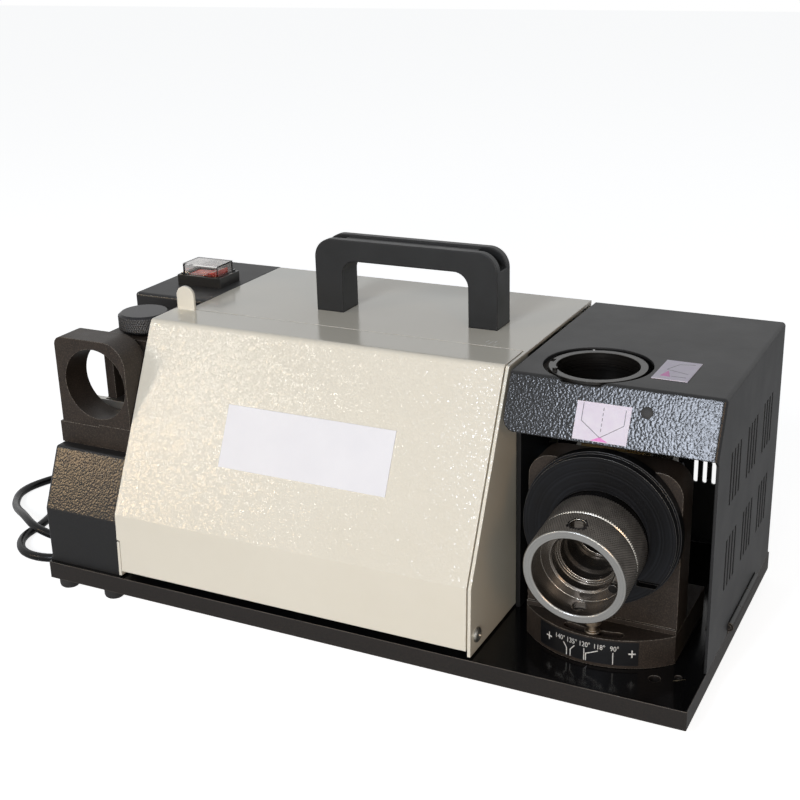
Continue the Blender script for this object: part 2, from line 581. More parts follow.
# Punched silicon steel: 0.5 mm sheets on edge, blued by annealing; the stack's lines run round the motor. The
# lines are drawn 1 mm apart so that they show.
laminations, tree, shader, place = start_finish("punched_motor_laminations", "#5A5D61", 0.45, metallic=1.0)
across = add(tree, "ShaderNodeSeparateXYZ", {0: place})
sheets = add(tree, "ShaderNodeMath", {0: across, 1: 2 * math.pi * every(1)}, operation="MULTIPLY")
lines = add(tree, "ShaderNodeMath", {0: sheets}, operation="SINE")
share = add(tree, "ShaderNodeMapRange", {"Value": lines, "From Min": -1.0})
tone = add(tree, "ShaderNodeMix", {"Factor": share, "A": "#3C4046", "B": "#757A80"}, data_type="RGBA")
edges = add(tree, "ShaderNodeBump", {"Height": lines, "Strength": 0.3, "Distance": 0.0002})
feed(shader, {"Base Color": tone, "Normal": edges})

# Grey polypropylene, moulded: the fan and the terminal strip.
grey_plastic, tree, shader, place = start_finish("moulded_grey_polypropylene", "#74767A", 0.48)
tone = mottle(tree, place, 1.429, 3, "#696B6F", "#7E8084")[1]
normal = worn_edges(tree, 0.0004)[0]
feed(shader, {"Base Color": tone, "Normal": normal})

dress(enamel, "motor_shell", "fan_cowl")
dress(die_cast, "motor_end_bells")
dress(laminations, "stator_core", "rotor_shaft")
dress(grey_plastic, "motor_fan", "terminal_block")
dress(plate_enamel, "motor_cradle")

# ---- Grinding wheel and its hub -------------------------------------------------------------------------
# Steel wheel with one layer of cubic boron nitride grit bonded to its rim and cone by nickel, on a turned hub
# that is held by a washer and a hexagon nut.


def middle_of(name):
    """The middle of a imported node's box."""
    low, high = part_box(name)
    return (low + high) / 2


def lathe_marks(tree, place, axis_place, pitch_mm):
    """Fine rings as a lathe leaves them about the Z of a place, and the distances from it and along it."""
    there = add(tree, "ShaderNodeVectorMath", {0: place, 1: axis_place.to_translation()},
                operation="SUBTRACT")
    turned_back = axis_place.to_3x3().transposed().to_euler()
    local = add(tree, "ShaderNodeVectorRotate", {"Vector": there, "Rotation": turned_back},
                rotation_type="EULER_XYZ")
    parts = add(tree, "ShaderNodeSeparateXYZ", {0: local}).outputs
    flat = add(tree, "ShaderNodeCombineXYZ", {"X": parts["X"], "Y": parts["Y"]})
    reach = add(tree, "ShaderNodeVectorMath", {0: flat}, operation="LENGTH")
    radial = add(tree, "ShaderNodeCombineXYZ", {"X": reach, "Y": parts["Z"]})
    rings = add(tree, "ShaderNodeTexNoise", {"Vector": radial, "Scale": every(pitch_mm), "Detail": 2})
    return rings, reach, parts["Z"]


wheel_middle = middle_of("grinding_wheel")
motor_axis = (Matrix.Translation((0, wheel_middle.y, wheel_middle.z))
              @ Matrix.Rotation(math.radians(90), 4, "Y"))

# Bright turned steel: a satin of fine rings. A tool's feed is about 0.15 mm; the rings here and on the other
# turned pieces are drawn two to four times as coarse so that they show.
turned_steel, tree, shader, place = start_finish("bright_turned_steel", "#A6A49F", 0.32, metallic=1.0)
rings = lathe_marks(tree, place, motor_axis, 0.4)[0]
normal = worn_edges(tree, 0.0004)[0]
tone = add(tree, "ShaderNodeMix", {"Factor": rings, "A": "#8B8984", "B": "#BDBBB6"}, data_type="RGBA")
cut_marks = add(tree, "ShaderNodeBump", {"Height": rings, "Normal": normal, "Strength": 0.25,
                                         "Distance": 0.0001})
feed(shader, {"Base Color": tone, "Normal": cut_marks})

# Boron nitride grit, about 0.15 mm, in nickel: brown sparkling grains over a grey ground. Drawn at 0.4 mm.
GRIT_INNER_RADIUS = 0.0365
grit, tree, shader, place = start_finish("boron_nitride_grit_in_nickel", "#6E5A35", 0.45)
grains = add(tree, "ShaderNodeTexVoronoi", {"Vector": place, "Scale": every(0.4)})
reach = lathe_marks(tree, place, motor_axis, 1)[1]
coated = add(tree, "ShaderNodeMapRange", {"Value": reach, "From Min": GRIT_INNER_RADIUS,
                                          "From Max": GRIT_INNER_RADIUS + 0.0005})
sand = add(tree, "ShaderNodeMix", {"Factor": grains, "A": "#C9A860", "B": "#3E3527"}, data_type="RGBA")
tone = add(tree, "ShaderNodeMix", {"Factor": coated, "A": "#8D8B87", "B": sand}, data_type="RGBA")
sharp = add(tree, "ShaderNodeMath", {0: grains, 1: coated}, operation="MULTIPLY")
rough = add(tree, "ShaderNodeBump", {"Height": sharp, "Strength": 0.7, "Distance": 0.0003})
feed(shader, {"Base Color": tone, "Normal": rough})

dress(turned_steel, "wheel_hub", "motor_bearings")
dress(grit, "grinding_wheel")
dress(zinc, "wheel_nut")

# ---- Partition wall and top port ------------------------------------------------------------------------
# The bent steel wall that carries the top port's arm stands between motor and wheel. The arm is a blackened
# steel plate; its bushing takes the chuck when the web of the drill is thinned.


def on_slopes(tree):
    """1 on faces that slope up towards the front, and 0 on level and upright ones."""
    facing = add(tree, "ShaderNodeSeparateXYZ", {0: add(tree, "ShaderNodeTexCoord").outputs["Normal"]})
    lifted = add(tree, "ShaderNodeMapRange", {"Value": facing.outputs["Z"], "From Min": 0.15,
                                              "From Max": 0.32})
    steep = add(tree, "ShaderNodeMapRange", {"Value": facing.outputs["Y"], "From Min": -0.75,
                                             "From Max": -0.55, "To Min": 1.0, "To Max": 0.0})
    return add(tree, "ShaderNodeMath", {0: lifted, 1: steep}, operation="MULTIPLY")


# Black hammer powder coat on sheet steel: satin on the level and upright panels, and on the slopes it stands
# in glossy pebbles about 1.3 mm apart that glint where they mirror a lamp.
HALF_GREY = (0.5, 0.5, 0.5)
hammer_coat, tree, shader, place = start_finish("black_hammer_powder_coat", "#101114", 0.30)
normal, worn = worn_edges(tree, 0.0008, 0.82, 0.97)
sloping = on_slopes(tree)
stir = add(tree, "ShaderNodeTexNoise", {"Vector": place, "Scale": every(3.846), "Detail": 1})
bent = add(tree, "ShaderNodeVectorMath", {0: stir.outputs["Color"], 1: HALF_GREY}, operation="SUBTRACT")
small = add(tree, "ShaderNodeVectorMath", {0: bent, "Scale": 0.0013}, operation="SCALE")
moved = add(tree, "ShaderNodeVectorMath", {0: place, 1: small}, operation="ADD")
pebbles = add(tree, "ShaderNodeTexVoronoi", {"Vector": moved, "Scale": every(1.282), "Smoothness": 1.0},
              feature="SMOOTH_F1")
deep = add(tree, "ShaderNodeMapRange", {"Value": sloping, "To Min": 0.035, "To Max": 0.15})
folds = add(tree, "ShaderNodeBump", {"Height": pebbles, "Normal": normal, "Strength": deep,
                                     "Distance": 0.0009}, invert=True)
patch = add(tree, "ShaderNodeTexNoise", {"Vector": place, "Scale": every(28.57), "Detail": 4})
satin = add(tree, "ShaderNodeMapRange", {"Value": patch, "To Min": 0.44, "To Max": 0.58})
glossy = add(tree, "ShaderNodeMapRange", {"Value": patch, "To Min": 0.14, "To Max": 0.24})
gloss = add(tree, "ShaderNodeMix", {"Factor": sloping, "A": satin, "B": glossy})
tone = add(tree, "ShaderNodeMix", {"Factor": pebbles, "A": "#0D0E10", "B": "#060607"}, data_type="RGBA")
tone = add(tree, "ShaderNodeMix", {"Factor": worn, "A": tone, "B": "#1B1C1E"}, data_type="RGBA")
feed(shader, {"IOR": 1.44, "Base Color": tone, "Roughness": gloss, "Normal": folds})

# Phosphated and oiled steel: brown-black, mottled by the crystals, rubbed to bare metal along its edges.
phosphate, tree, shader, place = start_finish("oiled_phosphate_on_steel", "#1E1A16", 0.5, metallic=0.2)
normal, worn = worn_edges(tree, 0.0006)
blotch, tone = mottle(tree, place, 14.29, 6, "#171310", "#332B25")
feed(blotch, {"Roughness": 0.65})
speck = add(tree, "ShaderNodeTexNoise", {"Vector": place, "Scale": every(0.6667), "Detail": 2})
strong = add(tree, "ShaderNodeMapRange", {"Value": speck, "From Min": 0.45, "From Max": 0.75,
                                          "To Max": 0.55})
tone = add(tree, "ShaderNodeMix", {"Factor": strong, "A": tone, "B": "#50453B"}, data_type="RGBA")
ragged = add(tree, "ShaderNodeMapRange", {"Value": speck, "From Min": 0.35, "From Max": 0.6})
bright = add(tree, "ShaderNodeMath", {0: worn, 1: ragged}, operation="MULTIPLY")
tone = add(tree, "ShaderNodeMix", {"Factor": bright, "A": tone, "B": "#8F887D"}, data_type="RGBA")
crystals = add(tree, "ShaderNodeBump", {"Height": speck, "Normal": normal, "Strength": 0.35,
                                        "Distance": 0.0002})
oily = add(tree, "ShaderNodeMapRange", {"Value": blotch, "To Min": 0.36, "To Max": 0.62})
feed(shader, {"IOR": 1.38, "Base Color": tone, "Roughness": oily, "Normal": crystals})

# The port's bushing is blackened over fine turning, so its wall and rim catch thin rings of light.
bushing_middle, bushing_top = middle_of("top_port_bushing"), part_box("top_port_bushing")[1].z
port_axis = Matrix.Translation((bushing_middle.x, bushing_middle.y, bushing_top - 0.0020))
blacked, tree, shader, place = start_finish("blackened_turned_steel", "#0E0E0E", 0.3, metallic=0.3)
rings = lathe_marks(tree, place, port_axis, 0.6)[0]
normal, worn = worn_edges(tree, 0.0005)
tone = add(tree, "ShaderNodeMix", {"Factor": rings, "A": "#080808", "B": "#211F1D"}, data_type="RGBA")
tone = add(tree, "ShaderNodeMix", {"Factor": worn, "A": tone, "B": "#4E4B46"}, data_type="RGBA")
cut_marks = add(tree, "ShaderNodeBump", {"Height": rings, "Normal": normal, "Strength": 0.35,
                                         "Distance": 0.0002})
sheen = add(tree, "ShaderNodeMapRange", {"Value": rings, "To Min": 0.18, "To Max": 0.42})
feed(shader, {"Base Color": tone, "Roughness": sheen, "Normal": cut_marks})

dress(hammer_coat, "partition_wall")
dress(phosphate, "top_port_arm")
dress(blacked, "top_port_bushing")

# ---- Cream housing, door and label ----------------------------------------------------------------------
# The motor's housing is folded from 2 mm steel sheet and so is its front door, which tips down on two pivot
# screws. Both are powder coated cream, with a fine pebbled texture, and a bare plate is stuck on the door.

# Cream textured powder coat: glossy pebbles 1.3 mm apart on the slopes, whose tops lean up to 4 degrees, each
# its own way, so that each has its own glint. A cut edge is paler than the faces.
PEBBLE_MM = 1.316
cream, tree, shader, place = start_finish("cream_powder_coat", "#D9D4C3", 0.36)
normal, worn = worn_edges(tree, 0.0009, 0.80, 0.97)
sloping = on_slopes(tree)
pebbles = add(tree, "ShaderNodeTexVoronoi", {"Vector": place, "Scale": every(PEBBLE_MM), "Smoothness": 0.5},
              feature="SMOOTH_F1")
swell = add(tree, "ShaderNodeTexNoise", {"Vector": place, "Scale": every(3.333), "Detail": 3})
low_swell = add(tree, "ShaderNodeMath", {0: swell, 1: 0.35}, operation="MULTIPLY")
relief_height = add(tree, "ShaderNodeMath", {0: pebbles, 1: low_swell}, operation="SUBTRACT")
deep = add(tree, "ShaderNodeMapRange", {"Value": sloping, "To Min": 0.03, "To Max": 0.13})
rounded = add(tree, "ShaderNodeBump", {"Height": relief_height, "Normal": normal, "Strength": deep,
                                       "Distance": 0.0006}, invert=True)
tops = add(tree, "ShaderNodeTexVoronoi", {"Vector": place, "Scale": every(PEBBLE_MM)}).outputs["Color"]
leaning = add(tree, "ShaderNodeVectorMath", {0: tops, 1: HALF_GREY}, operation="SUBTRACT")
most_lean = add(tree, "ShaderNodeMath", {0: sloping, 1: 0.15}, operation="MULTIPLY")
lean = add(tree, "ShaderNodeVectorMath", {0: leaning, "Scale": most_lean}, operation="SCALE")
tipped = add(tree, "ShaderNodeVectorMath", {0: rounded, 1: lean}, operation="ADD")
level = add(tree, "ShaderNodeVectorMath", {0: tipped}, operation="NORMALIZE")
grime = add(tree, "ShaderNodeTexNoise", {"Vector": place, "Scale": every(90.91), "Detail": 6,
                                         "Roughness": 0.6})
soiled = add(tree, "ShaderNodeMapRange", {"Value": grime, "From Min": 0.35, "From Max": 0.75,
                                          "To Max": 0.35})
tone = add(tree, "ShaderNodeMix", {"Factor": soiled, "A": "#E3DECF", "B": "#D6CFBC"}, data_type="RGBA")
tone = add(tree, "ShaderNodeMix", {"Factor": worn, "A": tone, "B": "#EDEAE0"}, data_type="RGBA")
gloss = add(tree, "ShaderNodeMapRange", {"Value": swell, "To Min": 0.10, "To Max": 0.22})
feed(shader, {"IOR": 1.48, "Base Color": tone, "Roughness": gloss, "Normal": level})

# Bare label: thin aluminium under a clear white lacquer, left without any print.
label, tree, shader, place = start_finish("white_lacquered_label", "#DEDEE3", 0.42)
normal = worn_edges(tree, 0.0004)[0]
mist, tone = mottle(tree, place, 25, 5, "#E4E4E8", "#EEEEF0")
ripple = add(tree, "ShaderNodeBump", {"Height": mist, "Normal": normal, "Strength": 0.15, "Distance": 0.0004})
feed(shader, {"Base Color": tone, "Normal": ripple})

dress(cream, "motor_housing", "front_door")
dress(label, "door_label")


def cross_head(name, head, height):
    """A domed screw head above z = 0 with a cross recess sunk in it."""
    shape = bmesh.new()
    spin(shape, [(0, 0), (head / 2, 0), (head / 2, height * 0.35), (head * 0.44, height * 0.68),
                 (head * 0.30, height * 0.92), (head * 0.14, height), (0, height)], Matrix())
    dome = link_mesh(name, shape)
    shape = bmesh.new()
    wide, long = head * 0.055, head * 0.27
    for quarter in (0, math.pi / 2):
        rows = [[shape.verts.new(Matrix.Rotation(quarter, 3, "Z") @ Vector((x * reach, y * half, z)))
                 for x, y in ((-1, -1), (1, -1), (1, 1), (-1, 1))]
                for reach, half, z in ((long * 0.5, wide * 0.6, height * 0.25), (long, wide, height * 1.2))]
        shape.faces.new(list(reversed(rows[0])))
        shape.faces.new(rows[1])
        for i in range(4):
            j = (i + 1) % 4
            shape.faces.new((rows[0][i], rows[0][j], rows[1][j], rows[1][i]))
    driver = link_mesh("driver", shape)
    sink = dome.modifiers.new("recess", "BOOLEAN")
    sink.operation, sink.solver, sink.use_self, sink.object = "DIFFERENCE", "EXACT", True, driver
    bpy.context.view_layer.update()
    made = bpy.data.meshes.new_from_object(dome.evaluated_get(bpy.context.evaluated_depsgraph_get()))
    dome.modifiers.clear()
    dome.data = made
    bpy.data.objects.remove(driver)
    return dome


# Nicks in the roof's paint beside the handle, where something hard has been set down.
nick_finish, tree, shader, place = start_finish("chipped_white_primer", "#E9E9E6", 0.55)
tone = mottle(tree, place, 0.5, 2, "#D2D2CE", "#F4F4F2")[1]
feed(shader, {"Base Color": tone})
nick_outlines = [[(x, y), (x + wide, y - 0.0004), (x + wide + lean, y + length), (x + lean, y + length * 0.8)]
                 for x, y, wide, lean, length in (
                     (0.0635, -0.0080, 0.0006, 0.0005, 0.0050), (0.0662, -0.0105, 0.0005, 0.0010, 0.0068),
                     (0.0688, -0.0060, 0.0007, 0.0002, 0.0034), (0.0705, -0.0120, 0.0004, 0.0014, 0.0058),
                     (0.0652, -0.0150, 0.0006, 0.0003, 0.0028))]
nicks = thin_marks("roof_nicks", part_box("carry_handle")[0].z, nick_outlines, nick_finish)
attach(nicks, "root")

# Pivot screws of the door: domed zinc plated heads whose cross recesses stand at any angle.
PIVOT_HEAD, PIVOT_HEAD_HEIGHT, SUNK_IN_PANEL = 0.0094, 0.0021, 0.0012
pivots_low, pivots_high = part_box("door_pivot_screws")
pivot_line = middle_of("door_pivot_screws")
for title, face, side in (("right", pivots_high.x - SUNK_IN_PANEL, 1),
                          ("left", pivots_low.x + SUNK_IN_PANEL, -1)):
    outwards = (Matrix.Translation((face, pivot_line.y, pivot_line.z))
                @ Matrix.Rotation(math.radians(90 * side), 4, "Y"))
    head = repeat("pivot_screw_" + title, cross_head("head", PIVOT_HEAD, PIVOT_HEAD_HEIGHT), zinc,
                  [(0, 0, 0)], outwards, most_turn=math.pi, seed=5 + side)
    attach(head, "root")
dress(zinc, "door_pivot_screws")

# ---- Carrying handle ------------------------------------------------------------------------------------
# Bridge handle moulded in black glass-filled nylon, hollowed by a channel along its outside, and held from
# under the roof by two screws.

# Glass-filled nylon: matt charcoal-black with a fine spark-eroded grain, drawn at 0.6 mm so that it shows.
nylon, tree, shader, place = start_finish("glass_filled_black_nylon", "#131416", 0.5)
normal = worn_edges(tree, 0.0013, 0.86, 0.99)[0]
grain = add(tree, "ShaderNodeTexNoise", {"Vector": place, "Scale": every(0.588), "Detail": 2})
haze, tone = mottle(tree, place, 18.18, 4, "#0F1011", "#1B1D1F")
spark = add(tree, "ShaderNodeBump", {"Height": grain, "Normal": normal, "Strength": 0.35,
                                     "Distance": 0.00015})
handled = add(tree, "ShaderNodeMapRange", {"Value": haze, "To Min": 0.36, "To Max": 0.58})
feed(shader, {"IOR": 1.42, "Base Color": tone, "Roughness": handled, "Normal": spark})
dress(nylon, "carry_handle", "cable_gland")
dress(zinc, "handle_screws")

# ---- Wheel cover ----------------------------------------------------------------------------------------
# Folded sheet steel hood over the wheel in the black hammer powder coat, hinged along its lower right edge. A
# rubber plug closes a hole in its sloping flap, and two printed films are stuck on it.
dress(hammer_coat, "wheel_cover")
dress(plate_enamel, "hinge_leaf_fixed", "hinge_leaf_moving", "hinge_pin")

# Printed film: white vinyl, faintly pink, with the plain outline of a drill's point and a magenta wedge.
film, tree, shader, place = start_finish("printed_white_vinyl", "#DED9E2", 0.5)
tone = mottle(tree, place, 6.25, 4, "#DFDCE2", "#D2C6D8")[1]
feed(shader, {"Base Color": tone})
dress(film, "cover_stickers")

# Screen inks on the film: thin, so that the white grins through in specks.
magenta_ink, tree, shader, place = start_finish("magenta_print", "#D65FB4", 0.3)
tone = mottle(tree, place, 0.833, 3, "#C54A9F", "#E27CC6")[1]
feed(shader, {"Base Color": tone})
dark_ink, tree, shader, place = start_finish("dark_print", "#3C3A3E", 0.35)
tone = mottle(tree, place, 1.111, 3, "#2A282C", "#5A585C")[1]
feed(shader, {"Base Color": tone})


def printed(name, at, lines, patches, thick=0.0004):
    """Ink on a film: lines between points and filled patches, laid in the film's own plane."""
    shape = bmesh.new()
    filled = [(patch, 1) for patch in patches]
    for (x0, y0), (x1, y1) in lines:
        way = Vector((x1 - x0, y1 - y0)).normalized() * thick / 2
        filled.append((((x0 + way.y, y0 - way.x), (x1 + way.y, y1 - way.x), (x1 - way.y, y1 + way.x),
                        (x0 - way.y, y0 + way.x)), 0))
    for corners, slot in filled:
        rows = [[shape.verts.new(at @ Vector((x, y, raised))) for x, y in corners]
                for raised in (0.00001, 0.00004)]
        faces = [shape.faces.new(rows[1]), shape.faces.new(list(reversed(rows[0])))]
        for i in range(len(corners)):
            j = (i + 1) % len(corners)
            faces.append(shape.faces.new((rows[0][i], rows[0][j], rows[1][j], rows[1][i])))
        for face in faces:
            face.material_index = slot
    bmesh.ops.recalc_face_normals(shape, faces=shape.faces)
    made = link_mesh(name, shape, dark_ink, magenta_ink)
    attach(made, "cover")


FLAP_RUN, FLAP_RISE, FILM_THICK = 0.015, 0.0316, 0.0002
films = sorted(boxes_of("cover_stickers"), key=lambda found: found[0].z)
(flap_low, flap_high), (roof_low, roof_high) = ((low, high) for middle, low, high in films)
slope = math.atan2(FLAP_RUN, FLAP_RISE)
out_of_slope = Vector((0, -math.cos(slope), math.sin(slope)))
up_slope = Vector((0, math.sin(slope), math.cos(slope)))
flap_corner = Vector((flap_low.x, flap_low.y, flap_low.z + FILM_THICK * math.sin(slope)))
flap_plane = Matrix.Translation(flap_corner) @ Matrix(((1, up_slope.x, out_of_slope.x, 0),
                                                       (0, up_slope.y, out_of_slope.y, 0),
                                                       (0, up_slope.z, out_of_slope.z, 0), (0, 0, 0, 1)))
wide = flap_high.x - flap_low.x
centre = wide / 2
outline = [(0.0038, 0.0215), (0.0038, 0.0110), (centre, 0.0026), (wide - 0.0030, 0.0110),
           (wide - 0.0030, 0.0200)]
dashes = [((centre, 0.0060 + 0.0030 * i), (centre, 0.0078 + 0.0030 * i)) for i in range(5)]
printed("flap_film_print", flap_plane, [*zip(outline, outline[1:]), *dashes],
        [((centre, 0.0030), (centre - 0.0052, 0.0004), (centre + 0.0052, 0.0004))])
roof_plane = Matrix.Translation((roof_low.x, roof_low.y, roof_high.z))
deep = roof_high.y - roof_low.y
outline = [(0.0180, deep - 0.0040), (0.0090, deep - 0.0060), (0.0045, deep / 2), (0.0180, deep / 2 - 0.0045)]
printed("roof_film_print", roof_plane, [*zip(outline, outline[1:]), ((0.0100, 0.0060), (0.0185, 0.0060))],
        [((0.0060, deep / 2 - 0.0020), (0.0035, 0.0050), (0.0095, 0.0050))])

# Plug: a soft rubber button pressed into a hole in the flap.
FLAP_HOLE = (0.1819, -0.0577, 0.1736)
shape = bmesh.new()
spin(shape, [(0, -0.0030), (0.0024, -0.0030), (0.0024, 0.0), (0.0035, 0.0), (0.0034, 0.0005),
             (0.0026, 0.0009), (0.0013, 0.00105), (0, 0.0011)],
     Matrix.Translation(FLAP_HOLE) @ flap_plane.to_3x3().to_4x4(), 32)
button = link_mesh("flap_plug", shape, rubber)
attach(button, "cover")

# ---- Swivel ---------------------------------------------------------------------------------------------
# A round-fronted steel slide turns on a pin in the plate to set the point angle, and carries an upright block
# with the chuck's port. One cap screw in a curved slot locks it.
dress(phosphate, "swivel_base", "swivel_block")
dress(turned_steel, "swivel_pin")

# Worn steel of the lock screw: bare where the key has taken its blacking off, brown with oil in its corners.
worn_bolt, tree, shader, place = start_finish("worn_oily_bolt_steel", "#7D7061", 0.36, metallic=0.9)
normal, worn = worn_edges(tree, 0.0005, 0.84, 0.98)
tone = mottle(tree, place, 2.857, 4, "#57493B", "#A0927F")[1]
tone = add(tree, "ShaderNodeMix", {"Factor": worn, "A": tone, "B": "#CFC8BC"}, data_type="RGBA")
feed(shader, {"Base Color": tone, "Normal": normal})
dress(worn_bolt, "swivel_lock_screw")

# Scale strip: black anodised aluminium with white figures, stuck round the front of the slide.
strip, tree, shader, place = start_finish("black_scale_strip", "#0E0F12", 0.42)
normal = worn_edges(tree, 0.0003)[0]
tone = mottle(tree, place, 7.692, 4, "#050506", "#0F1013")[1]
feed(shader, {"IOR": 1.36, "Base Color": tone, "Normal": normal})
dress(strip, "angle_scale")

PIVOT_X, PIVOT_Y, STRIP_RADIUS, CLEAR_OF_STRIP = 0.1595, -0.0190, 0.06244, 0.00004
FIGURE, PLUS, NARROWED, LINE_HALF, LINE_STEP, INK_THICK = 0.0046, 0.0104, 0.84, 0.00028, 0.0012, 0.00003
strip_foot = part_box("angle_scale")[0].z


def round_the_strip(mesh, middle_angle, middle_height):
    """Bends a flat mesh round the front of the slide: its X runs along the arc and its Y upwards."""
    for corner in mesh.vertices:
        angle = math.radians(middle_angle) + corner.co.x / STRIP_RADIUS
        reach = STRIP_RADIUS + CLEAR_OF_STRIP + corner.co.z
        corner.co = (PIVOT_X + reach * math.cos(angle), PIVOT_Y + reach * math.sin(angle),
                     strip_foot + middle_height + corner.co.y)


def flat_line(start, end):
    """A flat ribbon of ink between two points, in short steps so that it bends well."""
    side = (end - start).normalized() * LINE_HALF
    side = Vector((side.y, -side.x))
    steps = 1 + int((end - start).length / LINE_STEP)
    middles = [start.lerp(end, i / steps) for i in range(steps + 1)]
    spots = [(*(middle + way), z) for z in (0.0, INK_THICK) for middle in middles for way in (side, -side)]
    up = 2 * (steps + 1)
    faces = []
    for a in range(0, 2 * steps, 2):
        faces += [(a + up, a + 2 + up, a + 3 + up, a + 1 + up), (a, a + 1, a + 3, a + 2),
                  (a, a + 2, a + 2 + up, a + up), (a + 1, a + 1 + up, a + 3 + up, a + 3)]
    faces += [(0, up, up + 1, 1), (up - 2, up - 1, 2 * up - 1, 2 * up - 2)]
    made = bpy.data.meshes.new("line")
    made.from_pydata(spots, [], faces)
    return made


# Each angle's figures stand over a line that leads down to its mark; a plus sign stands at either end.
printed_parts = []
for words, angle, height, size in (
        ("140\u00b0", -107.4, 0.0106, FIGURE), ("135\u00b0", -99.9, 0.0106, FIGURE),
        ("120\u00b0", -92.4, 0.0106, FIGURE), ("118\u00b0", -84.2, 0.0106, FIGURE),
        ("90\u00b0", -76.0, 0.0106, FIGURE), ("+", -115.0, 0.0074, PLUS), ("+", -66.7, 0.0074, PLUS)):
    text = bpy.data.curves.new("figure", "FONT")
    text.body, text.size, text.extrude = words, size, 0.00002
    text.align_x, text.align_y, text.resolution_u = "CENTER", "CENTER", 6
    holder = bpy.data.objects.new("figure", text)
    bpy.context.scene.collection.objects.link(holder)
    bpy.context.view_layer.update()
    flat = bpy.data.meshes.new_from_object(holder)
    bpy.data.objects.remove(holder)
    flat.transform(Matrix.Diagonal((NARROWED, 1.0, 1.0, 1.0)))
    round_the_strip(flat, angle, height)
    printed_parts.append(flat)
for path in (((-105.0, 0.0083), (-103.0, 0.0050), (-103.0, 0.0004)),
             ((-98.2, 0.0081), (-100.7, 0.0048), (-100.7, 0.0004)),
             ((-92.6, 0.0081), (-92.6, 0.0004)), ((-84.9, 0.0081), (-91.6, 0.0050), (-91.6, 0.0004)),
             ((-76.8, 0.0081), (-76.8, 0.0004))):
    for (angle, height), (next_angle, next_height) in zip(path, path[1:]):
        flat = flat_line(Vector((0, height)),
                         Vector((math.radians(next_angle - angle) * STRIP_RADIUS, next_height)))
        round_the_strip(flat, angle, 0.0)
        printed_parts.append(flat)
shape = bmesh.new()
for flat in printed_parts:
    shape.from_mesh(flat)
bmesh.ops.recalc_face_normals(shape, faces=shape.faces)
scale_print = link_mesh("scale_figures", shape, ink)
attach(scale_print, "swivel")

# ---- Guide disc -----------------------------------------------------------------------------------------
# Faced and blued steel disc that turns the chuck's port; the bluing keeps the rings of the facing cut, which
# are drawn 1.6 mm apart so that they show.
disc_middle, disc_front = middle_of("guide_disc"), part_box("guide_disc")[0].y
disc_axis = (Matrix.Translation((disc_middle.x, disc_front, disc_middle.z))
             @ Matrix.Rotation(math.radians(90), 4, "X"))
blued, tree, shader, place = start_finish("blued_faced_steel", "#1C2026", 0.36, metallic=0.75)
rings = lathe_marks(tree, place, disc_axis, 1.6)[0]
normal, worn = worn_edges(tree, 0.0005)
haze = add(tree, "ShaderNodeTexNoise", {"Vector": place, "Scale": every(33.33), "Detail": 5})
spread = add(tree, "ShaderNodeMapRange", {"Value": rings, "From Min": 0.3, "From Max": 0.7})
tone = add(tree, "ShaderNodeMix", {"Factor": spread, "A": "#0F1114", "B": "#292C32"}, data_type="RGBA")
tone = add(tree, "ShaderNodeMix", {"Factor": haze, "A": tone, "B": "#151311"}, data_type="RGBA")
tone = add(tree, "ShaderNodeMix", {"Factor": worn, "A": tone, "B": "#5C5B59"}, data_type="RGBA")
faced = add(tree, "ShaderNodeBump", {"Height": rings, "Normal": normal, "Strength": 0.5, "Distance": 0.0003})
feed(shader, {"Base Color": tone, "Normal": faced})
dress(blued, "guide_disc")
dress(turned_steel, "port_liner")

# ---- Chuck ----------------------------------------------------------------------------------------------
# Two knurled steel rings on a bored sleeve, with a slit collet and its nut inside. The front ring's face is
# turned bright; the bores are browned.
CHUCK_TIPPED, CHUCK_HEIGHT = math.radians(7), 0.0969
chuck_axis = (Matrix.Translation((disc_middle.x, disc_front, CHUCK_HEIGHT))
              @ Matrix.Rotation(math.pi / 2 + CHUCK_TIPPED, 4, "X"))
GRIP_START, GRIP_END, GRIP_RADIUS, RING_RADIUS, RING_LENGTH = 0.0208, 0.0414, 0.0300, 0.0298, 0.0200
KNURL_COLUMNS, KNURL_ROWS, KNURL_DEPTH = 124, 14, 0.00036
KEY_HOLE, KEY_HOLE_FROM_FACE = 0.0058, 0.0090


